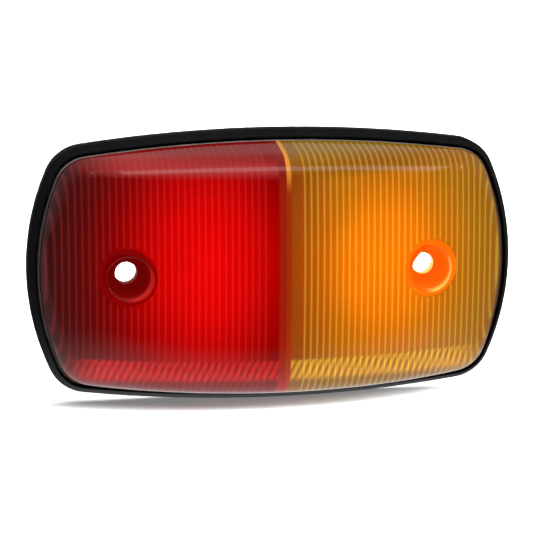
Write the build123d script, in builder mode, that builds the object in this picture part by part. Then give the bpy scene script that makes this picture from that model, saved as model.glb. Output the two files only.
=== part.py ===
"""Two-colour surface-mount marker lamp: a black housing, a welded red and amber lens and two festoon bulbs.

Frame: the origin is the centre of the rear mounting face. +X runs along the lamp towards the amber end,
+Z is up and +Y points into the surface that carries the lamp, so the lens faces -Y. Millimetres.
Depths are distances in front of the rear face, so a depth d lies at y = -d.
"""

import os

from build123d import *

os.makedirs("parts", exist_ok=True)

# Outline of the lamp, seen from the front: four bowed sides joined by tangent corners
half_length = 51.0
half_height = 28.4
side_arc_radius = 300.0
end_arc_radius = 51.0
corner_radius = 8.8

# Housing
gasket_depth = 1.0
floor_depth = 3.0
flange_depth = 4.0
rim_depth = 6.5
rim_inset = 1.3
flange_edge_radius = 0.5
groove_depth = 3.4
groove_inset = 1.55
groove_width = 3.1
groove_rib = 1.0
groove_rib_depth = 6.0
gasket_inset = 2.2
seal_gap = 0.1
seal_squeeze_gap = 0.05

# Lens
lens_inset = 1.7
lens_foot_depth = 4.45
lens_depth = 20.5
lens_crown_radius = 104.0
lens_cross_crown_radius = 210.0
lens_lean = 3.0
lens_lean_rise = 17.05
lens_top_corner_radius = 8.0
lens_shoulder_radius = 6.0
lens_wall = 2.4
depth_limit = 25.5

# Mounting holes and the wells that lead to them
hole_spacing = 62.4
hole_radius = 2.25
well_radius = 4.4
well_wall = 1.4
well_foot_depth = 5.8
well_seat_depth = 8.4
boss_depth = 5.3
boss_radius = 5.7
boss_hole_radius = 4.1

# Bulbs and their contacts
bulb_x = 15.0
bulb_depth = 12.2
glass_radius = 4.0
glass_wall = 0.5
glass_neck_radius = 3.1
glass_shoulder = 8.4
glass_end = 12.4
filament_lead_radius = 0.2
filament_coil_radius = 0.45
filament_half_length = 6.0
lead_gap = 0.05
cap_radius = 3.5
cap_wall = 0.35
cap_inside_step = 0.1
cap_shoulder_step = 0.3
cap_start = 10.3
cap_shoulder = 13.2
bulb_half_length = 15.5
blade_face = 14.6
blade_thickness = 0.5
blade_width = 7.0
blade_foot_depth = 3.7
blade_tip_depth = 15.4
blade_lip = 1.0
blade_lip_thickness = 0.7
blade_bend_back = 0.2
blade_hole_radius = 2.3

# Strips, terminals and the cable entry
strip_thickness = 0.6
feed_pad_width = 12.0
feed_pad_height = 4.5
feed_pad_shift = 2.5
feed_pad_overhang = 1.9
feed_leg_width = 5.0
feed_leg_bottom = -5.5
earth_bar_overhang = 3.5
earth_tab_top = -6.0
lug_width = 5.0
lug_gap = 0.1
lug_top_gap = 0.2
terminal_x = 9.0
terminal_z = -3.0
earth_terminal_z = -8.5
terminal_screw_radius = 1.2
terminal_head_radius = 2.3
terminal_head_height = 1.2
terminal_head_round = 0.5
terminal_slot_width = 0.6
terminal_slot_depth = 0.7
clamp_size = 4.6
clamp_thickness = 0.6
clamp_corner = 0.6
screw_hole_gap = 0.1
rivet_radius = 0.8
rivet_head_radius = 1.3
rivet_head_height = 0.6
rivet_head_round = 0.3
rivet_foot_depth = 1.4
upper_rivet_z = 14.2
middle_rivet_z = 4.0
earth_rivet_x = 7.0
grommet_z = 8.0
grommet_radius = 3.8
grommet_flange_radius = 5.0
grommet_back_depth = 0.3
grommet_front_depth = 4.4
grommet_chamfer_depth = 4.0
grommet_front_radius = 4.4
grommet_recess_gap = 0.3
cable_bore_radius = 2.8

# Reflector tray
tray_depth = 6.2
tray_thickness = 1.0
tray_inset = 10.0
tray_draft = 1.5
tray_lip_width = 1.0
tray_hollow_draft = 1.4
tray_corner_radius = 5.0
tray_lip_depth = 9.0
tray_well_radius = 6.7
slot_width = 8.2
slot_height = 2.6
slot_z = 14.9
leg_radius = 1.5
leg_x = 22.0
leg_z = 13.0
tray_screw_x = 21.5
tray_screw_radius = 0.9
tray_screw_gap = 0.2
tray_screw_head_radius = 1.8
tray_screw_head_height = 1.0
tray_screw_head_round = 0.4
tray_screw_foot_depth = 1.8
cross_slot_length = 2.4
cross_slot_width = 0.5
cross_slot_depth = 0.5
post_radius = 2.6

# Web between the two halves
divider_thickness = 1.6
divider_gap = 0.4
divider_foot_inset = 3.0

# Places and depths that follow from the sizes above
strip_depth = floor_depth + strip_thickness
head_foot_depth = strip_depth + clamp_thickness
tray_face_depth = tray_depth + tray_thickness
well_outer_radius = well_radius + well_wall
groove_inner_inset = groove_inset + groove_width
cavity_inset = groove_inner_inset + groove_rib
feed_top = blade_face + feed_pad_overhang
lug_z = blade_face - lug_gap - blade_thickness / 2
hole_centres = [(-hole_spacing / 2, 0), (hole_spacing / 2, 0)]
earth_rivet_centres = [(-earth_rivet_x, -upper_rivet_z), (earth_rivet_x, -upper_rivet_z)]
rivet_centres = [
    (-terminal_x, upper_rivet_z),
    (-terminal_x, middle_rivet_z),
    (terminal_x, upper_rivet_z),
    (terminal_x, middle_rivet_z),
    *earth_rivet_centres,
]
terminal_centres = [(-terminal_x, terminal_z), (terminal_x, terminal_z), (0, earth_terminal_z)]
tray_screw_centres = [(-tray_screw_x, 0), (tray_screw_x, 0)]


def front_plane(depth):
    """A plane parallel to the rear face, with local x along +X and local y along +Z."""
    return Plane.XZ.offset(depth)


def lamp_outline(depth, inset, corner=None):
    """The lamp's outline on a front plane, moved inwards by inset, with matching corners or given ones."""
    side_radius = side_arc_radius - inset
    end_radius = end_arc_radius - inset
    side_offset = side_arc_radius - half_height
    end_offset = half_length - end_arc_radius
    with BuildSketch(front_plane(depth)) as outline:
        with Locations((0, side_offset)):
            Circle(side_radius)
        with Locations((0, -side_offset)):
            Circle(side_radius, mode=Mode.INTERSECT)
        with Locations((end_offset, 0)):
            Circle(end_radius, mode=Mode.INTERSECT)
        with Locations((-end_offset, 0)):
            Circle(end_radius, mode=Mode.INTERSECT)
        fillet(outline.vertices(), corner or corner_radius - inset)
    return outline.sketch


def lens_form(wall):
    """The lens's outer form, or the hollow inside it when wall is the lens's thickness."""
    inset = lens_inset + wall
    crown_radius = lens_crown_radius - wall
    cross_radius = lens_cross_crown_radius - wall
    top_depth = lens_foot_depth + lens_lean_rise
    with BuildPart() as form:
        add(lamp_outline(lens_foot_depth, inset))
        add(lamp_outline(top_depth, inset + lens_lean, lens_top_corner_radius))
        loft(ruled=True)
        with BuildSketch(Plane.YZ, mode=Mode.PRIVATE) as crown:
            with Locations((lens_cross_crown_radius - lens_depth, 0)):
                Circle(cross_radius)
            with Locations((lens_crown_radius - lens_depth - crown_radius, 0)):
                Rectangle(
                    crown_radius,
                    2 * half_length,
                    align=(Align.MIN, Align.CENTER),
                    mode=Mode.INTERSECT,
                )
        crown_axis = Axis((0, lens_crown_radius - lens_depth, 0), (0, 0, 1))
        revolve(crown.sketch, axis=crown_axis, mode=Mode.INTERSECT)
        face = form.faces().sort_by(Axis.Y)[0]
        fillet(face.edges(), lens_shoulder_radius - wall)
    return form.part


lens_outer = lens_form(0)
lens_hollow = lens_form(lens_wall)

with BuildPart() as well_columns:
    with BuildSketch(front_plane(well_foot_depth)):
        with Locations(*hole_centres):
            Circle(well_outer_radius)
    extrude(amount=depth_limit)

with BuildPart() as well_bores:
    with BuildSketch(front_plane(well_seat_depth)):
        with Locations(*hole_centres):
            Circle(well_radius)
    extrude(amount=depth_limit)
    with BuildSketch(front_plane(0)):
        with Locations(*hole_centres):
            Circle(hole_radius)
    extrude(amount=well_seat_depth)

# The whole lens: a shell with two screw wells that reach down to the housing's bosses
with BuildPart() as lens_shell:
    add(lens_outer)
    add(lens_hollow, mode=Mode.SUBTRACT)
    add(well_columns.part & lens_outer)
    add(well_bores.part, mode=Mode.SUBTRACT)

with BuildPart() as lens_red:
    add(lens_shell.part)
    split(bisect_by=Plane.YZ, keep=Keep.BOTTOM)

with BuildPart() as lens_amber:
    add(lens_shell.part)
    split(bisect_by=Plane.YZ, keep=Keep.TOP)

# The web under the seam, which keeps each bulb's light in its own half
divider_foot_depth = tray_depth + tray_thickness + divider_gap
divider_step_depth = tray_lip_depth + divider_gap
divider_foot_half_height = half_height - tray_inset - divider_foot_inset
with BuildPart() as light_divider:
    with BuildSketch(front_plane(divider_foot_depth)):
        Rectangle(divider_thickness, 2 * half_height)
    extrude(amount=depth_limit)
    add(lens_hollow, mode=Mode.INTERSECT)
    with BuildSketch(front_plane(divider_foot_depth)):
        Rectangle(2 * divider_thickness, 2 * half_height)
        Rectangle(2 * divider_thickness, 2 * divider_foot_half_height, mode=Mode.SUBTRACT)
    extrude(amount=divider_step_depth - divider_foot_depth, mode=Mode.SUBTRACT)

# The housing: a flanged tray with a groove for the lens, a recess behind for the gasket, posts and bosses
with BuildPart() as base_housing:
    extrude(lamp_outline(0, 0), amount=flange_depth)
    fillet(base_housing.faces().sort_by(Axis.Y)[-1].edges(), flange_edge_radius)
    loft([lamp_outline(flange_depth, 0).face(), lamp_outline(rim_depth, rim_inset).face()], ruled=True)
    extrude(lamp_outline(groove_depth, groove_inset), amount=rim_depth, mode=Mode.SUBTRACT)
    extrude(lamp_outline(groove_depth, groove_inner_inset), amount=groove_rib_depth - groove_depth)
    extrude(lamp_outline(floor_depth, cavity_inset), amount=rim_depth, mode=Mode.SUBTRACT)
    extrude(lamp_outline(0, gasket_inset), amount=gasket_depth, mode=Mode.SUBTRACT)
    with BuildSketch(front_plane(floor_depth)):
        with Locations(*tray_screw_centres):
            Circle(post_radius)
    extrude(amount=tray_depth - floor_depth)
    with BuildSketch(front_plane(floor_depth)):
        with Locations(*hole_centres):
            Circle(boss_radius)
    extrude(amount=boss_depth - floor_depth)
    with BuildSketch(front_plane(0)):
        with Locations(*hole_centres):
            Circle(boss_hole_radius)
    extrude(amount=boss_depth, mode=Mode.SUBTRACT)
    with BuildSketch(front_plane(0)):
        with Locations((0, grommet_z)):
            Circle(grommet_radius)
    extrude(amount=floor_depth, mode=Mode.SUBTRACT)
    with BuildSketch(front_plane(rivet_foot_depth)):
        with Locations(*rivet_centres):
            Circle(rivet_radius)
        with Locations(*terminal_centres):
            Circle(terminal_screw_radius)
        with Locations(*tray_screw_centres):
            Circle(tray_screw_radius)
    extrude(amount=depth_limit, mode=Mode.SUBTRACT)

with BuildPart() as mounting_gasket:
    extrude(lamp_outline(0, gasket_inset + seal_gap), amount=gasket_depth)
    with BuildSketch(front_plane(0)):
        with Locations(*hole_centres):
            Circle(boss_hole_radius)
        with Locations((0, grommet_z)):
            Circle(grommet_flange_radius + grommet_recess_gap)
    extrude(amount=gasket_depth, mode=Mode.SUBTRACT)

with BuildPart() as lens_seal:
    extrude(
        lamp_outline(groove_depth, groove_inset + seal_gap),
        amount=lens_foot_depth - groove_depth - seal_squeeze_gap,
    )
    extrude(
        lamp_outline(groove_depth, groove_inner_inset - seal_gap),
        amount=lens_foot_depth,
        mode=Mode.SUBTRACT,
    )

with BuildPart() as screw_seals:
    with BuildSketch(front_plane(boss_depth)):
        with Locations(*hole_centres):
            Circle(boss_radius - seal_gap)
            Circle(boss_hole_radius + seal_gap, mode=Mode.SUBTRACT)
    extrude(amount=well_foot_depth - boss_depth - seal_squeeze_gap)

with BuildPart() as cable_grommet:
    with BuildSketch(Plane.XY.offset(grommet_z)):
        with BuildLine():
            Polyline(
                (cable_bore_radius, -grommet_back_depth),
                (grommet_flange_radius, -grommet_back_depth),
                (grommet_flange_radius, -gasket_depth),
                (grommet_radius, -gasket_depth),
                (grommet_radius, -floor_depth),
                (grommet_flange_radius, -floor_depth),
                (grommet_front_radius, -grommet_chamfer_depth),
                (cable_bore_radius, -grommet_front_depth),
                close=True,
            )
        make_face()
    revolve(axis=Axis((0, 0, grommet_z), (0, 1, 0)))

# The reflector tray: a dished white plate on the housing's posts and its own four legs
with BuildPart() as reflector_tray:
    dish_foot = lamp_outline(tray_depth, tray_inset + tray_draft, tray_corner_radius)
    dish_lip = lamp_outline(tray_lip_depth, tray_inset, tray_corner_radius)
    loft([dish_foot.face(), dish_lip.face()], ruled=True)
    hollow_inset = tray_inset + tray_lip_width
    hollow_foot = lamp_outline(tray_face_depth, hollow_inset + tray_hollow_draft, tray_corner_radius)
    hollow_lip = lamp_outline(tray_lip_depth, hollow_inset, tray_corner_radius)
    loft([hollow_foot.face(), hollow_lip.face()], ruled=True, mode=Mode.SUBTRACT)
    with BuildSketch(front_plane(floor_depth)):
        with GridLocations(2 * leg_x, 2 * leg_z, 2, 2):
            Circle(leg_radius)
    extrude(amount=tray_depth - floor_depth)
    with BuildSketch(front_plane(tray_depth)):
        with Locations(*hole_centres):
            Circle(tray_well_radius)
        with Locations(*tray_screw_centres):
            Circle(tray_screw_radius + tray_screw_gap)
        with GridLocations(2 * bulb_x, 2 * slot_z, 2, 2):
            Rectangle(slot_width, slot_height)
    extrude(amount=depth_limit, mode=Mode.SUBTRACT)

with BuildPart() as tray_screws:
    with BuildSketch(front_plane(tray_face_depth)):
        with Locations(*tray_screw_centres):
            Circle(tray_screw_head_radius)
    extrude(amount=tray_screw_head_height)
    fillet(tray_screws.edges().group_by(Axis.Y)[0], tray_screw_head_round)
    with BuildSketch(front_plane(tray_screw_foot_depth)):
        with Locations(*tray_screw_centres):
            Circle(tray_screw_radius)
    extrude(amount=tray_face_depth - tray_screw_foot_depth)
    with BuildSketch(front_plane(tray_face_depth + tray_screw_head_height - cross_slot_depth)):
        with Locations(*tray_screw_centres):
            Rectangle(cross_slot_length, cross_slot_width)
            Rectangle(cross_slot_width, cross_slot_length)
    extrude(amount=cross_slot_depth, mode=Mode.SUBTRACT)


def contact_strip(pads, lug_centres, rivets, terminal):
    """A flat brass strip on the housing's floor, from rectangles given as (x, z, width, height)."""
    with BuildPart() as strip:
        with BuildSketch(front_plane(floor_depth)):
            for x, z, width, height in pads:
                with Locations((x, z)):
                    Rectangle(width, height)
            with Locations(*rivets):
                Circle(rivet_radius, mode=Mode.SUBTRACT)
            with Locations(terminal):
                Circle(terminal_screw_radius + screw_hole_gap, mode=Mode.SUBTRACT)
        extrude(amount=strip_thickness)
        with BuildSketch(front_plane(strip_depth)):
            with Locations(*lug_centres):
                Rectangle(lug_width, blade_thickness)
        extrude(amount=tray_depth - strip_depth - lug_top_gap)
    return strip.part


def feed_strip(side):
    """The supply strip of one bulb, on the side of the lamp given by the sign of side."""
    pad_x = side * (bulb_x - feed_pad_shift)
    pad = (pad_x, feed_top - feed_pad_height / 2, feed_pad_width, feed_pad_height)
    leg_height = feed_top - feed_leg_bottom
    leg = (side * terminal_x, feed_top - leg_height / 2, feed_leg_width, leg_height)
    rivets = [(side * terminal_x, upper_rivet_z), (side * terminal_x, middle_rivet_z)]
    return contact_strip([pad, leg], [(side * bulb_x, lug_z)], rivets, (side * terminal_x, terminal_z))


with BuildPart() as red_feed_strip:
    add(feed_strip(-1))

with BuildPart() as amber_feed_strip:
    add(feed_strip(1))

with BuildPart() as earth_strip:
    earth_bar_length = 2 * (bulb_x + earth_bar_overhang)
    earth_bar = (0, feed_pad_height / 2 - feed_top, earth_bar_length, feed_pad_height)
    earth_tab = (0, (earth_tab_top - feed_top) / 2, feed_leg_width, earth_tab_top + feed_top)
    earth_lugs = [(-bulb_x, -lug_z), (bulb_x, -lug_z)]
    add(contact_strip([earth_bar, earth_tab], earth_lugs, earth_rivet_centres, (0, earth_terminal_z)))

with BuildPart() as strip_rivets:
    with BuildSketch(front_plane(rivet_foot_depth)):
        with Locations(*rivet_centres):
            Circle(rivet_radius)
    extrude(amount=strip_depth - rivet_foot_depth)
    with BuildSketch(front_plane(strip_depth)):
        with Locations(*rivet_centres):
            Circle(rivet_head_radius)
    extrude(amount=rivet_head_height)
    fillet(strip_rivets.edges().group_by(Axis.Y)[0], rivet_head_round)

with BuildPart() as terminal_clamps:
    with BuildSketch(front_plane(strip_depth)):
        with Locations(*terminal_centres):
            Rectangle(clamp_size, clamp_size)
            Circle(terminal_screw_radius + screw_hole_gap, mode=Mode.SUBTRACT)
    extrude(amount=clamp_thickness)
    chamfer(terminal_clamps.edges().filter_by(Axis.Y), clamp_corner)

with BuildPart() as terminal_screws:
    with BuildSketch(front_plane(head_foot_depth)):
        with Locations(*terminal_centres):
            Circle(terminal_head_radius)
    extrude(amount=terminal_head_height)
    fillet(terminal_screws.edges().group_by(Axis.Y)[0], terminal_head_round)
    with BuildSketch(front_plane(rivet_foot_depth)):
        with Locations(*terminal_centres):
            Circle(terminal_screw_radius)
    extrude(amount=head_foot_depth - rivet_foot_depth)
    with BuildSketch(front_plane(head_foot_depth + terminal_head_height - terminal_slot_depth)):
        with Locations(*terminal_centres):
            Rectangle(2 * terminal_head_radius, terminal_slot_width)
    extrude(amount=terminal_slot_depth, mode=Mode.SUBTRACT)


def contact_blade(x, side):
    """An upright spring blade with a hole for the bulb's pointed end and a lip that guides the bulb in."""
    inner = side * blade_face
    outer = side * (blade_face + blade_thickness)
    lip_inner = side * (blade_face + blade_lip)
    lip_outer = side * (blade_face + blade_lip + blade_lip_thickness)
    bend_depth = blade_tip_depth - blade_lip
    with BuildPart() as blade:
        with BuildSketch(Plane.YZ.offset(x)):
            with BuildLine():
                Polyline(
                    (-blade_foot_depth, inner),
                    (-bend_depth, inner),
                    (-blade_tip_depth, lip_inner),
                    (-blade_tip_depth, lip_outer),
                    (blade_bend_back - bend_depth, outer),
                    (-blade_foot_depth, outer),
                    close=True,
                )
            make_face()
        extrude(amount=blade_width / 2, both=True)
        with BuildSketch(Plane.XY):
            with Locations((x, -bulb_depth)):
                Circle(blade_hole_radius)
        extrude(amount=side * bulb_half_length, mode=Mode.SUBTRACT)
    return blade.part


with BuildPart() as red_upper_contact:
    add(contact_blade(-bulb_x, 1))

with BuildPart() as red_lower_contact:
    add(contact_blade(-bulb_x, -1))

with BuildPart() as amber_upper_contact:
    add(contact_blade(bulb_x, 1))

with BuildPart() as amber_lower_contact:
    add(contact_blade(bulb_x, -1))


def turned_on_bulb_axis(x, profile):
    """A piece turned about a bulb's upright axis, from points of (radius, height)."""
    with BuildPart() as turned:
        with BuildSketch(front_plane(bulb_depth)):
            with BuildLine():
                Polyline(*[(x + radius, height) for radius, height in profile], close=True)
            make_face()
        revolve(axis=Axis((x, -bulb_depth, 0), (0, 0, 1)))
    return turned.part


def bulb_glass(x):
    """The bulb's glass tube, drawn in at both ends to fit the caps."""
    upper = [(glass_neck_radius, glass_end), (glass_neck_radius, cap_start), (glass_radius, glass_shoulder)]
    outside = upper + [(radius, -height) for radius, height in reversed(upper)]
    inside = [(radius - glass_wall, height) for radius, height in reversed(outside)]
    return turned_on_bulb_axis(x, outside + inside)


def bulb_cap(x, side):
    """A thin metal cap with a pointed end."""
    tip_radius = cap_radius - (bulb_half_length - cap_shoulder)
    tip_inside_radius = tip_radius - cap_inside_step
    shoulder_inside = cap_shoulder - cap_shoulder_step
    profile = [
        (cap_radius, cap_start),
        (cap_radius, cap_shoulder),
        (tip_radius, bulb_half_length),
        (0, bulb_half_length),
        (0, bulb_half_length - cap_wall),
        (tip_inside_radius, bulb_half_length - cap_wall),
        (cap_radius - cap_wall, shoulder_inside),
        (cap_radius - cap_wall, cap_start),
    ]
    return turned_on_bulb_axis(x, [(radius, side * height) for radius, height in profile])


def bulb_filament(x):
    """The filament coil with its two lead wires, which end inside the caps."""
    lead_end = bulb_half_length - cap_wall - lead_gap
    upper = [
        (0, lead_end),
        (filament_lead_radius, lead_end),
        (filament_lead_radius, filament_half_length),
        (filament_coil_radius, filament_half_length),
    ]
    lower = [(radius, -height) for radius, height in reversed(upper)]
    return turned_on_bulb_axis(x, upper + lower)


with BuildPart() as red_bulb_glass:
    add(bulb_glass(-bulb_x))

with BuildPart() as red_bulb_upper_cap:
    add(bulb_cap(-bulb_x, 1))

with BuildPart() as red_bulb_lower_cap:
    add(bulb_cap(-bulb_x, -1))

with BuildPart() as red_bulb_filament:
    add(bulb_filament(-bulb_x))

with BuildPart() as amber_bulb_glass:
    add(bulb_glass(bulb_x))

with BuildPart() as amber_bulb_upper_cap:
    add(bulb_cap(bulb_x, 1))

with BuildPart() as amber_bulb_lower_cap:
    add(bulb_cap(bulb_x, -1))

with BuildPart() as amber_bulb_filament:
    add(bulb_filament(bulb_x))

pieces = {
    "base_housing": base_housing,
    "mounting_gasket": mounting_gasket,
    "cable_grommet": cable_grommet,
    "lens_seal": lens_seal,
    "screw_seals": screw_seals,
    "reflector_tray": reflector_tray,
    "tray_screws": tray_screws,
    "red_feed_strip": red_feed_strip,
    "amber_feed_strip": amber_feed_strip,
    "earth_strip": earth_strip,
    "strip_rivets": strip_rivets,
    "terminal_clamps": terminal_clamps,
    "terminal_screws": terminal_screws,
    "lens_red": lens_red,
    "lens_amber": lens_amber,
    "light_divider": light_divider,
    "red_upper_contact": red_upper_contact,
    "red_lower_contact": red_lower_contact,
    "amber_upper_contact": amber_upper_contact,
    "amber_lower_contact": amber_lower_contact,
    "red_bulb_glass": red_bulb_glass,
    "red_bulb_upper_cap": red_bulb_upper_cap,
    "red_bulb_lower_cap": red_bulb_lower_cap,
    "red_bulb_filament": red_bulb_filament,
    "amber_bulb_glass": amber_bulb_glass,
    "amber_bulb_upper_cap": amber_bulb_upper_cap,
    "amber_bulb_lower_cap": amber_bulb_lower_cap,
    "amber_bulb_filament": amber_bulb_filament,
}

for name, piece in pieces.items():
    piece.part.label = name
    export_step(piece.part, f"parts/{name}.step")
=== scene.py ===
"""Looks of the red and amber marker lamp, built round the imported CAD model. Metres, in the CAD's own frame.

The lamp faces -Y, its long side runs along X and its mounting face is the plane y = 0.
Depths are distances in front of the mounting face, so a depth d lies at y = -d. The lens is worked out in
millimetres and scaled once, when its mesh is made.
"""
import math
from types import SimpleNamespace

import bmesh
import bpy
import numpy as np
from mathutils import Matrix, Quaternion, Vector


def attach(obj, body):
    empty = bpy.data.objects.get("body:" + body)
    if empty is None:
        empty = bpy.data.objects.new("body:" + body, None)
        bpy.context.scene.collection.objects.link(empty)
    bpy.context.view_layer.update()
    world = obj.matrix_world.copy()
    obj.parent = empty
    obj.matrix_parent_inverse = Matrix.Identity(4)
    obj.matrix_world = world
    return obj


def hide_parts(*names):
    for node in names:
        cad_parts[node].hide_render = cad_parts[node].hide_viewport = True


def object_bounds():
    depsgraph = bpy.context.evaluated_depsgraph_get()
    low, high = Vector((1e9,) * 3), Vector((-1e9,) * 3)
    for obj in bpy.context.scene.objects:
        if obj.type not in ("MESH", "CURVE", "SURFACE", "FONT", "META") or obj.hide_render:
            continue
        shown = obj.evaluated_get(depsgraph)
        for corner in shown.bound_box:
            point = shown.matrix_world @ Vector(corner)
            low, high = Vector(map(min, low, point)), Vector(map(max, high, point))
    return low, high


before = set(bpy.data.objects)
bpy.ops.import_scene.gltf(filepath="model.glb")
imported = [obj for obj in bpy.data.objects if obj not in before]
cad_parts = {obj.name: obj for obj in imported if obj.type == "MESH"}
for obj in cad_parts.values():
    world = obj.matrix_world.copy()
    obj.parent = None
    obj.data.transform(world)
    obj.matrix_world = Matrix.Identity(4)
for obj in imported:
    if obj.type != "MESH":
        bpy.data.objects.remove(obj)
cad_low, cad_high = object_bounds()
MM = 0.001

# ---------------------------------------------------------------- sizes of the lens, in millimetres
HALF_LENGTH = 51.0
HALF_HEIGHT = 28.4
SIDE_RADIUS = 300.0
END_RADIUS = 51.0
CORNER_RADIUS = 8.8
CORNER_GROWTH = 0.3
LENS_INSET = 1.7
LENS_WALL = 2.4
FOOT_DEPTH = 4.45
LENS_DEPTH = 20.5
CROWN_RADIUS = 104.0
CROSS_CROWN_RADIUS = 210.0
WALL_LEAN = 3.0 / 17.05
SHOULDER_RADIUS = 6.0
SEAM_HALF_GAP = 0.02
WELL_X = 31.2
WELL_RADIUS = 4.4
WELL_ROUND = 0.35
WELL_OUTER_RADIUS = 5.8
WELL_SEAT_DEPTH = 8.4
WELL_FOOT_DEPTH = 5.8
SCREW_HOLE_RADIUS = 2.25
RIB_PITCH = 1.33
RIB_HEIGHT = 0.26
ROOT_WIDTH = 0.25
RIB_FREE_BANDS = 3
RIB_FADE_DEPTH = 7.2
RIB_FOOT_GAP = 0.4
RIB_END_FADE = 1.5
ROOT_FOOT_GAP = 0.5
RIM_DEPTH = 6.5
EDGE_WIDTH = 0.35
EDGE_DEPTH = RIM_DEPTH + EDGE_WIDTH
SEAM_CLEARANCE = 0.06
CLEARANCE_FADE = 0.5

# ---------------------------------------------------------------- how finely the lens's mesh is divided
OUTER_COLUMNS, OUTER_ROWS = 108, 121
OUTER_END_ZONE, OUTER_END_COLUMNS = 5.0, 46
COLUMNS_PER_RIB, INNER_ROWS = 8, 97
INNER_END_ZONE, INNER_END_COLUMNS = 2.0, 32
END_CROWDING, EDGE_CROWDING = 1.9, 1.8
ROUND_STEPS, WELL_STEPS, TUBE_STEPS = 3, 4, 3
SMALL = 0.001
SHARP_ANGLE = math.radians(32)


# ---------------------------------------------------------------- the lens's shape
def corner_centre(radius):
    """Centre of the arc that rounds the outline's corner at x, z > 0."""
    side_centre_z = HALF_HEIGHT - SIDE_RADIUS
    end_centre_x = HALF_LENGTH - END_RADIUS
    side_reach = SIDE_RADIUS - radius
    end_reach = END_RADIUS - radius
    base = math.hypot(end_centre_x, side_centre_z)
    along = (side_reach**2 - end_reach**2 + base**2) / (2 * base)
    across = np.sqrt(side_reach**2 - along**2)
    ux, uz = end_centre_x / base, -side_centre_z / base
    return along * ux + across * uz, side_centre_z + along * uz - across * ux


def inset_of(x, z, radius):
    """How far a point lies inside the lamp's outline."""
    x, z = np.abs(x), np.abs(z)
    end_centre_x = HALF_LENGTH - END_RADIUS
    side_centre_z = HALF_HEIGHT - SIDE_RADIUS
    from_side = SIDE_RADIUS - np.hypot(x, z - side_centre_z)
    from_end = END_RADIUS - np.hypot(x - end_centre_x, z)
    kx, kz = corner_centre(radius)
    vx, vz = x - kx, z - kz
    past_end = (kx - end_centre_x) * vz - kz * vx
    past_side = vx * (kz - side_centre_z) - vz * kx
    in_corner = (past_end >= 0) & (past_side >= 0)
    return np.where(in_corner, radius - np.hypot(vx, vz), np.minimum(from_side, from_end))


def crown_depth(x, z, wall):
    """Depth of the lens's crowned face, or of the face inside it."""
    reach = np.sqrt((CROSS_CROWN_RADIUS - wall) ** 2 - z**2) - (CROSS_CROWN_RADIUS - CROWN_RADIUS)
    return np.sqrt(np.maximum(reach**2 - x**2, 0)) + LENS_DEPTH - CROWN_RADIUS


def inside_by(x, z, depth, wall):
    """Positive inside the lens's form: leaning walls and a crowned face, with a rolled shoulder between."""
    step = 0.01
    radius = CORNER_RADIUS + CORNER_GROWTH * (depth - FOOT_DEPTH)
    inset = inset_of(x, z, radius)
    inset_x = (inset_of(x + step, z, radius) - inset) / step
    inset_z = (inset_of(x, z + step, radius) - inset) / step
    crown = crown_depth(x, z, wall)
    crown_x = (crown_depth(x + step, z, wall) - crown) / step
    crown_z = (crown_depth(x, z + step, wall) - crown) / step
    wall_cos = 1 / math.hypot(1, WALL_LEAN)
    crown_cos = 1 / np.sqrt(1 + crown_x**2 + crown_z**2)
    from_wall = (inset - LENS_INSET - wall - WALL_LEAN * (depth - FOOT_DEPTH)) * wall_cos
    from_crown = (crown - depth) * crown_cos
    turn = wall_cos * crown_cos * (inset_x * crown_x + inset_z * crown_z + WALL_LEAN)
    shoulder = SHOULDER_RADIUS - wall
    a = shoulder - from_wall
    b = shoulder - from_crown
    spread = 1 - turn**2
    p = (a - b * turn) / spread
    q = (b - a * turn) / spread
    rolled = shoulder - np.sqrt(np.maximum(p**2 + q**2 + 2 * p * q * turn, 0))
    return np.where((p > 0) & (q > 0), rolled, np.minimum(from_wall, from_crown))


def bisect(test, low, high, turns=34):
    """The place between low and high where test, which is True at low, turns False."""
    for _ in range(turns):
        middle = (low + high) / 2
        passed = test(middle)
        low = np.where(passed, middle, low)
        high = np.where(passed, high, middle)
    return (low + high) / 2


def surface_depth(x, z, wall):
    """Depth of the lens's surface, or of the surface a wall's thickness inside it, at each x and z."""
    low = np.full(x.shape, FOOT_DEPTH)
    return bisect(lambda d: inside_by(x, z, d, wall) > 0, low, crown_depth(x, z, wall))


def half_width(x, wall):
    """Half the lens's height at its foot, at each x."""
    inset = LENS_INSET + wall
    low = np.zeros(x.shape)
    return bisect(lambda z: inset_of(x, z, CORNER_RADIUS) > inset, low, np.full(x.shape, HALF_HEIGHT))


def surface_grid(wall, columns, rows):
    """Points of a half lens's surface, x > 0, from the seam to the end and from bottom to top."""
    reach = HALF_LENGTH - LENS_INSET - wall
    x = np.concatenate([columns[columns < reach - SMALL], [reach - SMALL / 2]])
    share = np.linspace(-1, 1, rows)
    share = np.sign(share) * (1 - (1 - np.abs(share)) ** EDGE_CROWDING)
    z = half_width(x, wall)[:, None] * share[None, :]
    xx = np.repeat(x[:, None], rows, axis=1)
    depth = surface_depth(xx, z, wall)
    depth[:, 0] = depth[:, -1] = FOOT_DEPTH
    depth[-1, :] = FOOT_DEPTH
    return np.stack([xx, depth, z], axis=-1)


def rib_height(x):
    """Height of the flutes: one rounded flute to each pitch, with none beside the seam."""
    phase = x / RIB_PITCH
    phase = phase - np.floor(phase) - 0.5
    return np.where(x > RIB_FREE_BANDS * RIB_PITCH, RIB_HEIGHT * (1 - 4 * phase**2), 0)


def root_share(x):
    """1 at the sharp root between two flutes, 0 on the flutes and beside the seam."""
    phase = x / RIB_PITCH
    to_root = np.abs(phase - np.round(phase))
    return np.where(x > (RIB_FREE_BANDS - 0.5) * RIB_PITCH, np.clip(1 - to_root / ROOT_WIDTH, 0, 1), 0)


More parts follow.
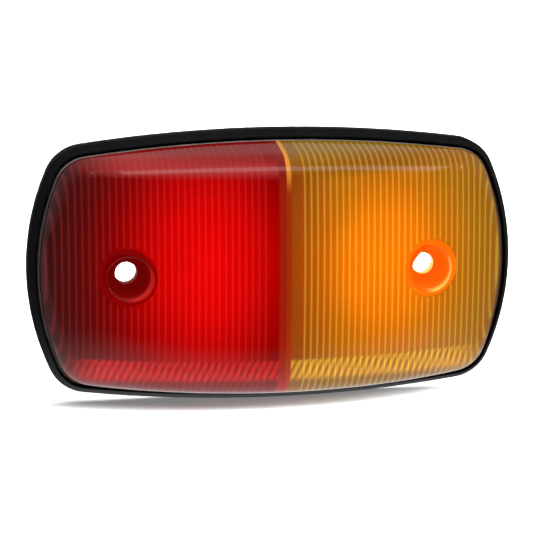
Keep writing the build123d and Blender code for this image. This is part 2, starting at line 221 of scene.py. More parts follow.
def with_ribs(grid):
    """Raises the flutes off the lens's inner surface, square to it, and fades them out near the foot."""
    along_z = np.gradient(grid, axis=1)
    normal_depth = -along_z[..., 2]
    normal_z = along_z[..., 1]
    size = np.maximum(np.hypot(normal_depth, normal_z), 1e-9)
    above_foot = grid[..., 1] - FOOT_DEPTH
    fade = np.clip((above_foot - RIB_FOOT_GAP) / (RIB_FADE_DEPTH - FOOT_DEPTH), 0, 1)
    from_end = np.clip((HALF_LENGTH - LENS_INSET - LENS_WALL - grid[..., 0]) / RIB_END_FADE, 0, 1)
    beside_seam = grid[..., 0] < RIB_FREE_BANDS * RIB_PITCH
    ribs = rib_height(grid[..., 0]) * fade * from_end
    held_back = -SEAM_CLEARANCE * np.clip(above_foot / CLEARANCE_FADE, 0, 1)
    raised = np.where(beside_seam, held_back, ribs)
    ribbed = grid.copy()
    ribbed[..., 1] += raised * normal_depth / size
    ribbed[..., 2] += raised * normal_z / size
    return ribbed


def grid_faces(bm, grid, side, hole_radius, flip):
    """Adds a grid to the mesh with a round hole over the screw well.

    Returns its faces, the hole's rim in order, the edge at the foot, and the points along the seam.
    """
    count, rows = grid.shape[:2]
    radius = np.hypot(grid[..., 0] - WELL_X, grid[..., 2])
    middle = (radius[:-1, :-1] + radius[1:, 1:] + radius[:-1, 1:] + radius[1:, :-1]) / 4
    open_face = middle < hole_radius
    verts = {}

    def vert(i, j):
        if i == count - 1:
            j = 0
        if (i, j) not in verts:
            x, depth, z = grid[i, j] if i < count - 1 else (grid[i, rows // 2, 0], FOOT_DEPTH, 0.0)
            verts[i, j] = bm.verts.new((side * x, -depth, z))
        return verts[i, j]

    faces = []
    for i in range(count - 1):
        for j in range(rows - 1):
            if open_face[i, j]:
                continue
            corners = [vert(i, j), vert(i + 1, j), vert(i + 1, j + 1), vert(i, j + 1)]
            corners = [v for k, v in enumerate(corners) if v is not corners[k - 1]]
            faces.append(bm.faces.new(corners if flip else corners[::-1]))
    rim = []
    for (i, j), v in verts.items():
        near = open_face[max(i - 1, 0) : i + 1, max(j - 1, 0) : j + 1]
        if near.any() and not near.all():
            scale = hole_radius / math.hypot(v.co.x - side * WELL_X, v.co.z)
            v.co.x = side * WELL_X + (v.co.x - side * WELL_X) * scale
            v.co.z *= scale
            rim.append(v)
    rim.sort(key=lambda v: math.atan2(v.co.z, v.co.x - side * WELL_X))
    edge = [verts[i, 0] for i in range(count)]
    edge += [verts[i, rows - 1] for i in range(count - 2, -1, -1)]
    seam = [verts[0, j] for j in range(rows)]
    return SimpleNamespace(faces=faces, rim=rim, edge=edge, seam=seam)


def ring_at(bm, rim, side, radius, depth=None, drop=0.0):
    """A copy of a hole's edge at another radius and depth."""
    ring = []
    for v in rim:
        scale = radius / math.hypot(v.co.x - side * WELL_X, v.co.z)
        x = side * WELL_X + (v.co.x - side * WELL_X) * scale
        ring.append(bm.verts.new((x, v.co.y + drop if depth is None else -depth, v.co.z * scale)))
    return ring


def straight_rings(bm, rim, depth, count):
    """Copies of a hole's edge, in even steps from it to depth."""
    rings = []
    for k in range(1, count + 1):
        ring = []
        for v in rim:
            y = v.co.y + (-depth - v.co.y) * k / count
            ring.append(bm.verts.new((v.co.x, y, v.co.z)))
        rings.append(ring)
    return rings


def bands(bm, rings):
    """Faces that join each ring to the next."""
    return [
        bm.faces.new((ring[k - 1], ring[k], other[k], other[k - 1]))
        for ring, other in zip(rings, rings[1:])
        for k in range(len(ring))
    ]


def fill_between(bm, loops):
    """Fills the flat area between closed loops of vertices."""
    edges = []
    for loop in loops:
        for k, v in enumerate(loop):
            edge = bm.edges.get((loop[k - 1], v)) or bm.edges.new((loop[k - 1], v))
            edges.append(edge)
    made = bmesh.ops.triangle_fill(bm, use_beauty=True, use_dissolve=False, edges=edges)
    return [f for f in made["geom"] if isinstance(f, bmesh.types.BMFace)]


def crowded(end, zone, count):
    """Columns over the last zone before the end, closer together towards it."""
    return end - zone * (1 - np.linspace(0, 1, count)[1:]) ** END_CROWDING


def outer_grid():
    """The lens's outside, with one row of points on the line where its frosted edge stops."""
    end = HALF_LENGTH - LENS_INSET
    columns = np.linspace(SEAM_HALF_GAP, end - OUTER_END_ZONE, OUTER_COLUMNS)
    closing = crowded(end, OUTER_END_ZONE, OUTER_END_COLUMNS)
    grid = surface_grid(0.0, np.concatenate([columns, closing]), OUTER_ROWS)
    middle = OUTER_ROWS // 2
    for column in grid:
        for points in (column[:middle], column[:middle:-1]):
            k = int(np.argmax(points[:, 1] >= EDGE_DEPTH))
            if k:
                share = (points[k, 1] - EDGE_DEPTH) / (points[k, 1] - points[k - 1, 1])
                points[k, 2] += (points[k - 1, 2] - points[k, 2]) * share
                points[k, 1] = EDGE_DEPTH - SMALL
    return grid


def inner_grid():
    """The lens's fluted inside, with several columns to each flute."""
    end = HALF_LENGTH - LENS_INSET
    inner_end = end - LENS_WALL
    starts = np.arange(0, math.floor(end / RIB_PITCH)) * RIB_PITCH
    across = RIB_PITCH * np.linspace(0, 1, COLUMNS_PER_RIB + 1)[:-1]
    columns = (starts[:, None] + across[None, :]).ravel()
    columns[0] = SEAM_HALF_GAP
    columns = columns[columns < inner_end - INNER_END_ZONE]
    closing = crowded(inner_end, INNER_END_ZONE, INNER_END_COLUMNS)
    return with_ribs(surface_grid(LENS_WALL, np.concatenate([columns, closing]), INNER_ROWS))


def well_rings(bm, rim, side):
    """The screw well from its rounded mouth to its seat, and the screw's hole through the seat."""
    rings = [rim]
    for k in range(1, ROUND_STEPS + 1):
        turn = math.radians(90 / ROUND_STEPS * k)
        radius = WELL_RADIUS + WELL_ROUND * (1 - math.sin(turn))
        rings.append(ring_at(bm, rim, side, radius, drop=WELL_ROUND * (1 - math.cos(turn))))
    rings += straight_rings(bm, rings[-1], WELL_SEAT_DEPTH, WELL_STEPS)
    rings.append(ring_at(bm, rim, side, SCREW_HOLE_RADIUS, WELL_SEAT_DEPTH))
    rings.append(ring_at(bm, rim, side, SCREW_HOLE_RADIUS, WELL_FOOT_DEPTH))
    return rings


def mark_roots(bm, faces, side):
    """Stores how near each point of the fluted face is to the root between two flutes."""
    root = bm.verts.layers.float.new("rib_root")
    for v in {v for face in faces for v in face.verts}:
        past_well = math.hypot(v.co.x - side * WELL_X, v.co.z) > WELL_OUTER_RADIUS + 10 * SMALL
        if past_well and -v.co.y > FOOT_DEPTH + ROOT_FOOT_GAP:
            v[root] = float(root_share(abs(v.co.x)))


def half_lens(name, side):
    """One half of the lens as a closed shell: smooth outside, fluted inside, with its screw well."""
    bm = bmesh.new()
    outer = grid_faces(bm, outer_grid(), side, WELL_RADIUS + WELL_ROUND, side > 0)
    inner = grid_faces(bm, inner_grid(), side, WELL_OUTER_RADIUS, side < 0)
    well = well_rings(bm, outer.rim, side)
    well_faces = bands(bm, well)
    tube = [inner.rim] + straight_rings(bm, inner.rim, WELL_FOOT_DEPTH, TUBE_STEPS)
    tube_faces = bands(bm, tube) + fill_between(bm, [well[-1], tube[-1]])
    fill_between(bm, [outer.seam + inner.seam[::-1]])
    edge_faces = fill_between(bm, [outer.edge + inner.edge[::-1]])
    edge_faces += [f for f in outer.faces if all(-v.co.y < EDGE_DEPTH for v in f.verts)]
    for face in bm.faces:
        face.smooth = True
    for index, group in enumerate((inner.faces, well_faces, tube_faces, edge_faces), 1):
        for face in group:
            face.material_index = index
    mark_roots(bm, inner.faces, side)
    bmesh.ops.recalc_face_normals(bm, faces=bm.faces)
    bmesh.ops.scale(bm, vec=(MM, MM, MM), verts=bm.verts)
    mesh = bpy.data.meshes.new(name)
    bm.to_mesh(mesh)
    bm.free()
    mesh.set_sharp_from_angle(angle=SHARP_ANGLE)
    lens = bpy.data.objects.new(name, mesh)
    bpy.context.scene.collection.objects.link(lens)
    return lens


# ---------------------------------------------------------------- materials
def new_material(name):
    """A node material, with its nodes, its links and its shader."""
    material = bpy.data.materials.new(name)
    material.use_nodes = True
    nodes = material.node_tree.nodes
    return material, nodes, material.node_tree.links, nodes["Principled BSDF"]


def noise(nodes, links, scale, detail=3.0, stretch=(1, 1, 1)):
    """A noise texture in object coordinates, in metres, so that scale is in features per metre."""
    coordinates = nodes.new("ShaderNodeTexCoord")
    mapping = nodes.new("ShaderNodeMapping")
    mapping.inputs["Scale"].default_value = stretch
    texture = nodes.new("ShaderNodeTexNoise")
    texture.inputs["Scale"].default_value = scale
    texture.inputs["Detail"].default_value = detail
    links.new(coordinates.outputs["Object"], mapping.inputs["Vector"])
    links.new(mapping.outputs["Vector"], texture.inputs["Vector"])
    return texture.outputs["Fac"]


def ramp(nodes, links, source, stops):
    """A colour ramp fed by source, with stops of (position, colour)."""
    node = nodes.new("ShaderNodeValToRGB")
    elements = node.color_ramp.elements
    while len(elements) < len(stops):
        elements.new(0.5)
    for element, (position, colour) in zip(elements, stops):
        element.position = position
        element.color = (*colour, 1.0)
    links.new(source, node.inputs["Fac"])
    return node.outputs["Color"]


def span(nodes, links, source, low, high):
    """Maps a 0 to 1 source to low to high."""
    node = nodes.new("ShaderNodeMapRange")
    node.inputs["To Min"].default_value = low
    node.inputs["To Max"].default_value = high
    links.new(source, node.inputs["Value"])
    return node.outputs["Result"]


def bump(nodes, links, shader, source, distance):
    """Lets source raise and lower the surface by up to distance, in metres."""
    node = nodes.new("ShaderNodeBump")
    node.inputs["Distance"].default_value = distance
    links.new(source, node.inputs["Height"])
    links.new(node.outputs["Normal"], shader.inputs["Normal"])


def lens_material(name, colour, deep, roughness):
    """Clear coloured acrylic with a slight unevenness of tint."""
    material, nodes, links, shader = new_material(name)
    tint = ramp(nodes, links, noise(nodes, links, 60, 2.0), [(0.3, deep), (0.7, colour)])
    links.new(tint, shader.inputs["Base Color"])
    shader.inputs["Transmission Weight"].default_value = 1.0
    shader.inputs["IOR"].default_value = 1.49
    shader.inputs["Roughness"].default_value = roughness
    return material


def blend(nodes, links, factor, first, second, mode="MIX"):
    """Mixes two colours; factor is a node's output or a number, and so may either colour be."""
    node = nodes.new("ShaderNodeMix")
    node.data_type = "RGBA"
    node.blend_type = mode
    for socket, value in ((node.inputs[0], factor), (node.inputs[6], first), (node.inputs[7], second)):
        if isinstance(value, bpy.types.NodeSocket):
            links.new(value, socket)
        else:
            socket.default_value = value if isinstance(value, (int, float)) else (*value, 1.0)
    return node.outputs[2]


def smooth(nodes, links, source, start, end):
    """0 up to start and 1 from end on, with a soft change between; start may be the larger."""
    node = nodes.new("ShaderNodeMapRange")
    node.interpolation_type = "SMOOTHSTEP"
    node.inputs["From Min"].default_value = min(start, end)
    node.inputs["From Max"].default_value = max(start, end)
    node.inputs["To Min"].default_value = 0.0 if start < end else 1.0
    node.inputs["To Max"].default_value = 1.0 if start < end else 0.0
    links.new(source, node.inputs["Value"])
    return node.outputs["Result"]


def span_of(nodes, links, source, centre, reach):
    """How far source lies from centre, counted in reaches."""
    node = nodes.new("ShaderNodeMath")
    node.operation = "MULTIPLY_ADD"
    node.inputs[1].default_value = 1 / reach
    node.inputs[2].default_value = -centre / reach
    links.new(source, node.inputs[0])
    return node.outputs["Value"]


def product(nodes, links, first, second):
    """Two numbers multiplied."""
    node = nodes.new("ShaderNodeMath")
    node.operation = "MULTIPLY"
    links.new(first, node.inputs[0])
    links.new(second, node.inputs[1])
    return node.outputs["Value"]


def along_axes(nodes, links):
    """Distance of a point from the seam, its y and its height, in metres."""
    coordinates = nodes.new("ShaderNodeTexCoord")
    parts = nodes.new("ShaderNodeSeparateXYZ")
    links.new(coordinates.outputs["Object"], parts.inputs["Vector"])
    out = nodes.new("ShaderNodeMath")
    out.operation = "ABSOLUTE"
    links.new(parts.outputs["X"], out.inputs[0])
    return out.outputs["Value"], parts.outputs["Y"], parts.outputs["Z"]


# Where the light and shade painted on the lens change, in metres. Each pair is where a change starts and
# where it's complete.
# Where the painted glow's tint near the seam ends.
WARMTH_OUT = (0.0, 0.015)
# Painted highlight band on the upper shoulder.
SHOULDER_UP, SHOULDER_IN = (0.0195, 0.0212), (0.045, 0.027)
# Painted light on the top wall.
TOP_UP = (0.0216, 0.0230)
# Painted light through the lower wall, and a painted floor reflection near the foot.
BOTTOM_DOWN, BOTTOM_IN = (-0.0169, -0.0178), (0.0440, 0.0360)
FOOT_DOWN = (-0.0205, -0.0218)
# Painted glint on the upper part of the seam, and the seam's painted glow.
STREAK_UP = (0.0165, 0.0225)
SEAM_IN = (0.0014, 0.0011)
# Painted highlight at the well's mouth on its lit side, and a painted glow by the screw hole.
MOUTH_FORWARD = (-0.0125, -0.0150)
MOUTH_SIDEWAYS = (0.0010, 0.0038)
HOLE_BACK = (-0.0083, -0.0078)
LIT_SIDE = (0.85, 0.0, -0.53)
BAND_SLANT = math.radians(-24)
WAVES_PER_METRE = math.pi / 10 / (RIB_PITCH * MM)
WELL_SHADE = 0.85


def slanted_bands(nodes, links):
    """0 to 1 and back across each flute, leaning over as the flutes do under the lens's lower shoulder; it
    stripes the painted light on the lower wall.
    """
    coordinates = nodes.new("ShaderNodeTexCoord")
    mapping = nodes.new("ShaderNodeMapping")
    mapping.inputs["Rotation"].default_value = (0, BAND_SLANT, 0)
    wave = nodes.new("ShaderNodeTexWave")
    wave.inputs["Scale"].default_value = WAVES_PER_METRE
    wave.inputs["Distortion"].default_value = 0.6
    wave.inputs["Detail Scale"].default_value = 1.5
    links.new(coordinates.outputs["Object"], mapping.inputs["Vector"])
    links.new(mapping.outputs["Vector"], wave.inputs["Vector"])
    return smooth(nodes, links, wave.outputs["Fac"], 0.2, 0.7)


def fluted_material(name, tint, glow):
    """The lens's fluted inner face, a rough tinted surface with the bulb's light painted on as glow, brighter
    at the roots, plus painted highlights and reflections.
    """
    material = lens_material(name, *tint, 0.6)
    nodes, links = material.node_tree.nodes, material.node_tree.links
    shader = nodes["Principled BSDF"]
    shader.inputs["Transmission Weight"].default_value = 0.1
    shader.inputs["Specular IOR Level"].default_value = 0.2
    shader.inputs["Emission Strength"].default_value = 1.0
    out, _, height = along_axes(nodes, links)

    def change(source, zone):
        return smooth(nodes, links, source, *zone)

    # Painted glow standing for the bulb's light: bright in the middle of the half, fading towards its edges.
    place = nodes.new("ShaderNodeCombineXYZ")
    links.new(span_of(nodes, links, out, glow["centre_x"], glow["reach_x"]), place.inputs["X"])
    links.new(span_of(nodes, links, height, glow["centre_z"], glow["reach_z"]), place.inputs["Z"])
    reach = nodes.new("ShaderNodeVectorMath")
    reach.operation = "LENGTH"
    links.new(place.outputs["Vector"], reach.inputs[0])
    colour = ramp(nodes, links, reach.outputs["Value"], glow["fade"])
    # The painted glow is tinted near the seam.
    warm = blend(nodes, links, change(out, WARMTH_OUT), glow["warmth"], (1, 1, 1))
    colour = blend(nodes, links, 1.0, colour, warm, "MULTIPLY")
    # Painted highlight: a pale band on the upper shoulder.
    shoulder = product(nodes, links, change(height, SHOULDER_UP), change(out, SHOULDER_IN))
    colour = blend(nodes, links, shoulder, colour, glow["shoulder"])
    # Painted light on the top wall.
    colour = blend(nodes, links, change(height, TOP_UP), colour, glow["top"])
    # Painted light through the lower wall, in slanted stripes across the flutes.
    bottom = product(nodes, links, change(height, BOTTOM_DOWN), change(out, BOTTOM_IN))
    light_stripes = blend(nodes, links, slanted_bands(nodes, links), glow["bottom_dark"], glow["bottom"])
    colour = blend(nodes, links, bottom, colour, light_stripes)
    # Painted reflection of the floor near the foot.
    colour = blend(nodes, links, change(height, FOOT_DOWN), colour, glow["foot"])
    # Painted bright lines at the roots between the flutes.
    root = nodes.new("ShaderNodeAttribute")
    root.attribute_name = "rib_root"
    colour = blend(nodes, links, root.outputs["Fac"], colour, glow["root"], "ADD")
    # Painted glow along the seam, with a painted glint on its upper part.
    seam = blend(nodes, links, change(height, STREAK_UP), glow["seam"], glow["seam_glint"])
    colour = blend(nodes, links, change(out, SEAM_IN), colour, seam)
    links.new(colour, shader.inputs["Emission Color"])
    return material


def towards(nodes, links, side):
    """How far a point lies from the screw well's axis, towards the side that catches the light; it places the
    painted highlight at the mouth.
    """
    coordinates = nodes.new("ShaderNodeTexCoord")
    dot = nodes.new("ShaderNodeVectorMath")
    dot.operation = "DOT_PRODUCT"
    dot.inputs[1].default_value = LIT_SIDE
    links.new(coordinates.outputs["Object"], dot.inputs[0])
    return span_of(nodes, links, dot.outputs["Value"], LIT_SIDE[0] * side * WELL_X * MM, 1.0)


def well_material(name, side, base, mouth, deep, hole):
    """The screw well's own walls: satin acrylic with painted light as glow: a painted highlight at the
    mouth's lit side, painted shade deeper in and a painted glow by the screw hole.
    """
    material, nodes, links, shader = new_material(name)
    _, forward, _ = along_axes(nodes, links)
    shade = tuple(WELL_SHADE * c for c in base)
    cloud = ramp(nodes, links, noise(nodes, links, 300, 2.0), [(0.3, base), (0.7, shade)])
    links.new(cloud, shader.inputs["Base Color"])
    # Painted highlight on the mouth's lit side; elsewhere the darker deep colour is painted shade.
    near_mouth = smooth(nodes, links, forward, *MOUTH_FORWARD)
    lit_side = smooth(nodes, links, towards(nodes, links, side), *MOUTH_SIDEWAYS)
    wall = blend(nodes, links, product(nodes, links, near_mouth, lit_side), deep, mouth)
    # Painted glow near the screw hole at the back of the well.
    wall = blend(nodes, links, smooth(nodes, links, forward, *HOLE_BACK), wall, hole)
    links.new(wall, shader.inputs["Emission Color"])
    shader.inputs["Emission Strength"].default_value = 1.0
    shader.inputs["Roughness"].default_value = 0.35
    shader.inputs["Specular IOR Level"].default_value = 0.3
    return material


def moulded(name, light, dark, rough_low, rough_high, grain, depth):
    """Moulded plastic or rubber with a fine grain and a slight mottle."""
    material, nodes, links, shader = new_material(name)
    mottle = noise(nodes, links, 220, 4.0)
    fine = noise(nodes, links, grain, 2.0)
    links.new(ramp(nodes, links, mottle, [(0.3, dark), (0.7, light)]), shader.inputs["Base Color"])
    links.new(span(nodes, links, mottle, rough_low, rough_high), shader.inputs["Roughness"])
    bump(nodes, links, shader, fine, depth)
    return material


def metal(name, light, dark, rough_low, rough_high, stretch):
    """Worked metal with fine lines along the direction that stretch leaves long."""
    material, nodes, links, shader = new_material(name)
    lines = noise(nodes, links, 900, 4.0, stretch)
    cloud = noise(nodes, links, 160, 3.0)
    links.new(ramp(nodes, links, cloud, [(0.25, dark), (0.75, light)]), shader.inputs["Base Color"])
    links.new(span(nodes, links, lines, rough_low, rough_high), shader.inputs["Roughness"])
    bump(nodes, links, shader, lines, 0.00002)
    shader.inputs["Metallic"].default_value = 1.0
    return material


GLASS_FADE_START, GLASS_FADE_END, GLASS_END_SHARE = 0.003, 0.011, 0.25


def lit_glass(name, colour, strength):
    """The bulb's glass, lit by its filament and fading towards the caps."""
    material, nodes, links, shader = new_material(name)
    coordinates = nodes.new("ShaderNodeTexCoord")
    parts = nodes.new("ShaderNodeSeparateXYZ")
    links.new(coordinates.outputs["Object"], parts.inputs["Vector"])
    away = nodes.new("ShaderNodeMath")
    away.operation = "ABSOLUTE"
    links.new(parts.outputs["Z"], away.inputs[0])
    fade = nodes.new("ShaderNodeMapRange")
    fade.interpolation_type = "SMOOTHSTEP"
    fade.inputs["From Min"].default_value = GLASS_FADE_START
    fade.inputs["From Max"].default_value = GLASS_FADE_END
    fade.inputs["To Min"].default_value = strength
    fade.inputs["To Max"].default_value = GLASS_END_SHARE * strength
    links.new(away.outputs["Value"], fade.inputs["Value"])
    links.new(fade.outputs["Result"], shader.inputs["Emission Strength"])
    shader.inputs["Emission Color"].default_value = (*colour, 1.0)
    shader.inputs["Base Color"].default_value = (0.9, 0.9, 0.88, 1.0)
    shader.inputs["Roughness"].default_value = 0.25
    return material


def dress(node, material):
    """Gives a CAD node its material."""
    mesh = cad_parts[node].data
    mesh.materials.clear()
    mesh.materials.append(material)


BLACK, DEEP_BLACK = (0.008, 0.0085, 0.009), (0.004, 0.0045, 0.005)
WHITE, DEEP_WHITE = (0.84, 0.83, 0.80), (0.78, 0.77, 0.74)
BUFF, DEEP_BUFF = (0.42, 0.30, 0.24), (0.36, 0.25, 0.20)
black_plastic = moulded("black_plastic", BLACK, DEEP_BLACK, 0.5, 0.62, 5200, 0.00003)
black_plastic.node_tree.nodes["Principled BSDF"].inputs["Specular IOR Level"].default_value = 0.08
foam = moulded("foam", (0.030, 0.031, 0.033), (0.016, 0.017, 0.018), 0.85, 0.98, 2600, 0.00012)
rubber = moulded("rubber", (0.022, 0.022, 0.023), (0.014, 0.014, 0.015), 0.55, 0.7, 4200, 0.00002)
grey_seal = moulded("grey_seal", (0.33, 0.33, 0.32), (0.26, 0.26, 0.25), 0.5, 0.65, 3600, 0.00002)
white_plastic = moulded("white_plastic", WHITE, DEEP_WHITE, 0.28, 0.4, 4800, 0.00001)
glowing_divider_plastic = moulded("glowing_divider_plastic", BUFF, DEEP_BUFF, 0.4, 0.55, 4800, 0.00002)
divider_shader = glowing_divider_plastic.node_tree.nodes["Principled BSDF"]
# Painted glow: the divider glows faintly orange, though it is no lamp.
divider_shader.inputs["Emission Color"].default_value = (1.0, 0.30, 0.12, 1.0)
divider_shader.inputs["Emission Strength"].default_value = 0.16
brass = metal("brass", (0.80, 0.60, 0.28), (0.62, 0.44, 0.19), 0.22, 0.42, (1, 1, 0.06))
zinc = metal("zinc", (0.66, 0.66, 0.65), (0.50, 0.50, 0.51), 0.2, 0.4, (0.3, 1, 1))
nickel = metal("nickel", (0.74, 0.72, 0.68), (0.60, 0.58, 0.54), 0.12, 0.26, (0.08, 0.08, 1))
tungsten = metal("tungsten", (0.40, 0.38, 0.36), (0.28, 0.27, 0.26), 0.3, 0.5, (1, 1, 1))
bulb_glow = lit_glass("bulb_glow", (1.0, 0.78, 0.50), 0.75)

# The lens's colours, and the light and shade painted on its fluted faces and screw wells as glow.
RED, DEEP_RED = (0.86, 0.004, 0.004), (0.80, 0.003, 0.003)
AMBER, DEEP_AMBER = (0.95, 0.26, 0.004), (0.90, 0.22, 0.003)
RED_SHADE, AMBER_SHADE = (0.30, 0.003, 0.003), (0.34, 0.10, 0.003)
DEEP_RED_SHADE, DEEP_AMBER_SHADE = (0.26, 0.002, 0.002), (0.30, 0.085, 0.002)
# Painted glow of the tube round each screw well, then each well's base colour.
RED_TUBE, AMBER_TUBE = (0.22, 0.02, 0.02), (0.80, 0.33, 0.05)
RED_WELL, AMBER_WELL = (0.16, 0.003, 0.002), (0.40, 0.08, 0.002)
# Painted glow standing for the bulb's light on the red fluted face, fading from the middle to a pale painted
# sheen at the ends.
RED_GLOW = {
    "centre_x": 0.015,
    "reach_x": 0.033,
    "centre_z": 0.003,
    "reach_z": 0.045,
    "fade": [
        (0.00, (0.78, 0.006, 0.006)),
        (0.26, (0.66, 0.006, 0.006)),
        (0.42, (0.44, 0.006, 0.006)),
        (0.58, (0.22, 0.008, 0.008)),
        (0.74, (0.085, 0.04, 0.04)),
        (0.90, (0.03, 0.09, 0.09)),
        (1.0, (0.018, 0.12, 0.12)),
    ],
    # warmth tints the painted glow near the seam.
    "warmth": (0.92, 1.0, 1.0),
    # shoulder is a painted highlight band, top painted light on the top wall.
    "shoulder": (0.39, 0.50, 0.50),
    "top": (0.22, 0.05, 0.05),
    # bottom and bottom_dark are painted light through the lower wall, foot a painted floor reflection.
    "bottom": (0.58, 0.13, 0.13),
    "bottom_dark": (0.26, 0.06, 0.06),
    "foot": (0.07, 0.10, 0.10),
    # root paints bright lines at the flutes' roots; the last two are a painted glow along the seam and a
    # painted glint above it.
    "root": (0.09, 0.14, 0.15),
    "seam": (0.30, 0.24, 0.06),
    "seam_glint": (0.22, 0.25, 0.10),
}
# The same painted glow, highlights and reflections on the amber half.
AMBER_GLOW = {
    "centre_x": 0.021,
    "reach_x": 0.033,
    "centre_z": 0.002,
    "reach_z": 0.040,
    "fade": [
        (0.00, (0.86, 0.38, 0.02)),
        (0.26, (0.76, 0.34, 0.02)),
        (0.42, (0.50, 0.27, 0.04)),
        (0.58, (0.36, 0.26, 0.10)),
        (0.74, (0.30, 0.24, 0.13)),
        (0.90, (0.26, 0.22, 0.14)),
        (1.0, (0.24, 0.21, 0.14)),
    ],
    "warmth": (0.80, 0.42, 0.5),
    "shoulder": (0.24, 0.166, 0.0),
    "top": (0.24, 0.26, 0.16),
    "bottom": (0.66, 0.66, 0.34),
    "bottom_dark": (0.32, 0.30, 0.14),
    "foot": (0.11, 0.17, 0.20),
    "root": (0.22, 0.40, 0.30),
    "seam": (0.30, 0.045, 0.06),
    "seam_glint": (0.80, 0.62, 0.60),
}
LENS_EDGE, LENS_EDGE_DARK = (0.34, 0.31, 0.30), (0.24, 0.20, 0.19)


def frosted_edge(name):
    """The lens's ground edge, where it stands above the housing's rim."""
    return moulded(name, LENS_EDGE, LENS_EDGE_DARK, 0.4, 0.6, 3000, 0.00001)


red_lens = (
    lens_material("red_lens_outer", RED, DEEP_RED, 0.02),
    fluted_material("red_lens_inner", (RED_SHADE, DEEP_RED_SHADE), RED_GLOW),
    # Emission colours of the well: painted highlight at the mouth, painted shade deeper in, painted glow by
    # the hole.
    well_material("red_well", -1, RED_WELL, (0.44, 0.006, 0.005), (0.12, 0.001, 0.001), (0.16, 0.001, 0.001)),
    # The tube round the well glows in one painted colour.
    well_material("red_well_tube", -1, RED_WELL, RED_TUBE, RED_TUBE, RED_TUBE),
    frosted_edge("red_lens_edge"),
)
amber_lens = (
    lens_material("amber_lens_outer", AMBER, DEEP_AMBER, 0.02),
    fluted_material("amber_lens_inner", (AMBER_SHADE, DEEP_AMBER_SHADE), AMBER_GLOW),
    # The same painted light and shade in the amber well and its tube.
    well_material("amber_well", 1, AMBER_WELL, (0.95, 0.56, 0.09), (0.70, 0.10, 0.002), (0.95, 0.70, 0.16)),
    well_material("amber_well_tube", 1, AMBER_WELL, AMBER_TUBE, AMBER_TUBE, AMBER_TUBE),
    frosted_edge("amber_lens_edge"),
)

NODE_MATERIALS = {
    black_plastic: ["base_housing"],
    foam: ["mounting_gasket"],
    rubber: ["cable_grommet"],
    grey_seal: ["lens_seal", "screw_seals"],
    white_plastic: ["reflector_tray"],
    glowing_divider_plastic: ["light_divider"],
    zinc: ["tray_screws", "strip_rivets", "terminal_clamps", "terminal_screws"],
    brass: [
        "red_feed_strip", "amber_feed_strip", "earth_strip", "red_upper_contact",
        "red_lower_contact", "amber_upper_contact", "amber_lower_contact",
    ],
    nickel: [
        "red_bulb_upper_cap", "red_bulb_lower_cap", "amber_bulb_upper_cap", "amber_bulb_lower_cap",
    ],
    tungsten: ["red_bulb_filament", "amber_bulb_filament"],
    bulb_glow: ["red_bulb_glass", "amber_bulb_glass"],
}
for material, names in NODE_MATERIALS.items():
    for node in names:
        dress(node, material)

for node, side, materials in (
    ("lens_red", -1, red_lens),
    ("lens_amber", 1, amber_lens),
):
    lens = half_lens(node + "_moulding", side)
    for material in materials:
        lens.data.materials.append(material)
    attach(lens, "lens")
    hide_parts(node)


# ---------------------------------------------------------------- stage, light and camera
FLOOR_SIZE = 8
FLOOR_GREY = 0.36
FLOOR_SWEEP = (0.16, 0.95)
FLOOR_GLOW_NEAR, FLOOR_GLOW_FAR = 0.20, 1.0
BOUNCE_FORWARD = (-0.062, -0.02)
BOUNCE_IN = (0.085, 0.045)
BOUNCE_ASIDE = 0.22


def stage_floor():
    """White to the camera, with a soft shadow; to the lamp it's bright close by and dark further off."""
    bpy.ops.mesh.primitive_plane_add(size=FLOOR_SIZE, location=(0, 0, cad_low.z))
    floor = bpy.context.object
    floor.name = "floor"
    material, nodes, links, shader = new_material("floor_paint")
    shader.inputs["Base Color"].default_value = (FLOOR_GREY, FLOOR_GREY, FLOOR_GREY, 1.0)
    shader.inputs["Roughness"].default_value = 0.9
    shader.inputs["Specular IOR Level"].default_value = 0.0
    shader.inputs["Emission Color"].default_value = (1.0, 1.0, 1.0, 1.0)
    out, forward, _ = along_axes(nodes, links)
    coordinates = nodes.new("ShaderNodeTexCoord")
    away = nodes.new("ShaderNodeVectorMath")
    away.operation = "LENGTH"
    links.new(coordinates.outputs["Object"], away.inputs[0])
    sweep = smooth(nodes, links, away.outputs["Value"], *FLOOR_SWEEP)
    glow = span(nodes, links, sweep, FLOOR_GLOW_NEAR, FLOOR_GLOW_FAR)
    links.new(glow, shader.inputs["Emission Strength"])
    close_by = smooth(nodes, links, forward, *BOUNCE_FORWARD)
    in_front = span(nodes, links, smooth(nodes, links, out, *BOUNCE_IN), BOUNCE_ASIDE, 1.0)
    bounce = nodes.new("ShaderNodeEmission")
    links.new(product(nodes, links, close_by, in_front), bounce.inputs["Strength"])
    path = nodes.new("ShaderNodeLightPath")
    mix = nodes.new("ShaderNodeMixShader")
    links.new(path.outputs["Is Camera Ray"], mix.inputs["Fac"])
    links.new(bounce.outputs["Emission"], mix.inputs[1])
    links.new(shader.outputs["BSDF"], mix.inputs[2])
    links.new(mix.outputs["Shader"], nodes["Material Output"].inputs["Surface"])
    floor.data.materials.append(material)
    return floor


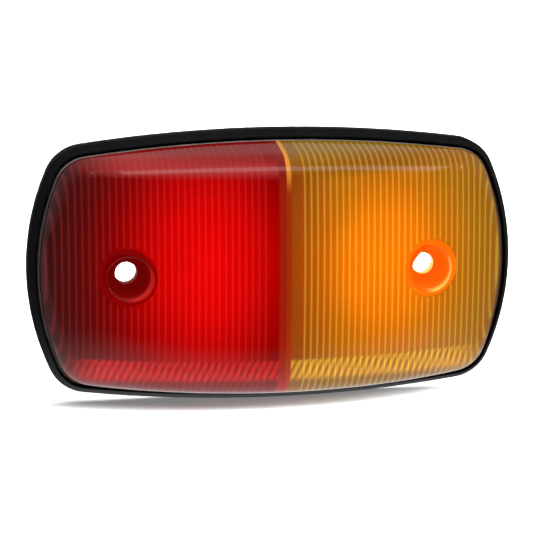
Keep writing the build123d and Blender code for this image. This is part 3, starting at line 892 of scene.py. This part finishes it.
def soft_light(name, location, size, power, turn=0.0, mirrored=True, only=None):
    """An area light aimed at the lamp.

    Mirrored lets surfaces reflect its shape, and only limits it to one object.
    """
    light = bpy.data.lights.new(name, "AREA")
    light.shape = "RECTANGLE"
    light.size, light.size_y = size
    light.energy = power
    lamp = bpy.data.objects.new(name, light)
    lamp.location = location
    aim = (-Vector(location)).to_track_quat("-Z", "Y")
    lamp.rotation_euler = (aim @ Quaternion((0, 0, 1), turn)).to_euler()
    lamp.visible_glossy = lamp.visible_transmission = mirrored
    bpy.context.scene.collection.objects.link(lamp)
    if only:
        lit = bpy.data.collections.new(name + "_lit")
        lit.objects.link(only)
        lamp.light_linking.receiver_collection = lit


WORLD_DIM_AT, WORLD_BRIGHT_AT = -0.8, 0.3
WORLD_DIM, WORLD_BRIGHT = 0.01, 0.28


def studio_world():
    """White to the camera, bright above and behind the lamp, dim in front of it."""
    world = bpy.data.worlds.new("studio")
    bpy.context.scene.world = world
    world.use_nodes = True
    nodes, links = world.node_tree.nodes, world.node_tree.links
    background = nodes["Background"]
    background.inputs["Color"].default_value = (1.0, 1.0, 1.0, 1.0)
    coordinates = nodes.new("ShaderNodeTexCoord")
    parts = nodes.new("ShaderNodeSeparateXYZ")
    links.new(coordinates.outputs["Generated"], parts.inputs["Vector"])
    rise = nodes.new("ShaderNodeMapRange")
    rise.interpolation_type = "SMOOTHSTEP"
    rise.inputs["From Min"].default_value = WORLD_DIM_AT
    rise.inputs["From Max"].default_value = WORLD_BRIGHT_AT
    rise.inputs["To Min"].default_value = WORLD_DIM
    rise.inputs["To Max"].default_value = WORLD_BRIGHT
    links.new(parts.outputs["Y"], rise.inputs["Value"])
    path = nodes.new("ShaderNodeLightPath")
    mix = nodes.new("ShaderNodeMix")
    mix.data_type = "FLOAT"
    mix.inputs["B"].default_value = 1.0
    links.new(path.outputs["Is Camera Ray"], mix.inputs["Factor"])
    links.new(rise.outputs["Result"], mix.inputs["A"])
    links.new(mix.outputs["Result"], background.inputs["Strength"])


CAMERA_PLACE = Vector((-0.08904, -0.47834, 0.09173))
CAMERA_YAW = 0.1835
CAMERA_PITCH = -0.1893
CAMERA_ROLL = 0.0024
CAMERA_LENS = 158.7


def aim_camera():
    """The camera in front of the lamp, a little above it and to its left."""
    camera = bpy.data.cameras.new("camera")
    camera.lens = CAMERA_LENS
    camera.clip_start, camera.clip_end = 0.01, 50
    rig = bpy.data.objects.new("camera", camera)
    forward = Vector((
        math.sin(CAMERA_YAW) * math.cos(CAMERA_PITCH),
        math.cos(CAMERA_YAW) * math.cos(CAMERA_PITCH),
        math.sin(CAMERA_PITCH),
    ))
    right = Vector((math.cos(CAMERA_YAW), -math.sin(CAMERA_YAW), 0))
    up = right.cross(forward)
    turned = right * math.cos(CAMERA_ROLL) + up * math.sin(CAMERA_ROLL)
    up = turned.cross(forward)
    rotation = Matrix((turned, up, -forward)).transposed().to_4x4()
    rig.matrix_world = Matrix.Translation(CAMERA_PLACE) @ rotation
    bpy.context.scene.collection.objects.link(rig)
    bpy.context.scene.camera = rig


STRIP_TURN = math.radians(-22)
floor = stage_floor()
studio_world()
soft_light("floor_light", (0.22, -0.08, 0.75), (2.0, 0.35), 62, mirrored=False, only=floor)
soft_light("floor_fill", (0.6, -0.25, 0.35), (0.6, 0.4), 50, mirrored=False, only=floor)
soft_light("fill", (0.0, -0.25, 0.75), (0.9, 0.7), 5, mirrored=False)
soft_light("strip", (0.14, -0.38, 0.54), (1.04, 0.20), 1.0, turn=STRIP_TURN)
soft_light("strip_edge", (0.13, -0.38, 0.55), (1.2, 0.46), 0.36, turn=STRIP_TURN)
aim_camera()
bpy.context.scene.view_settings.view_transform = "Standard"
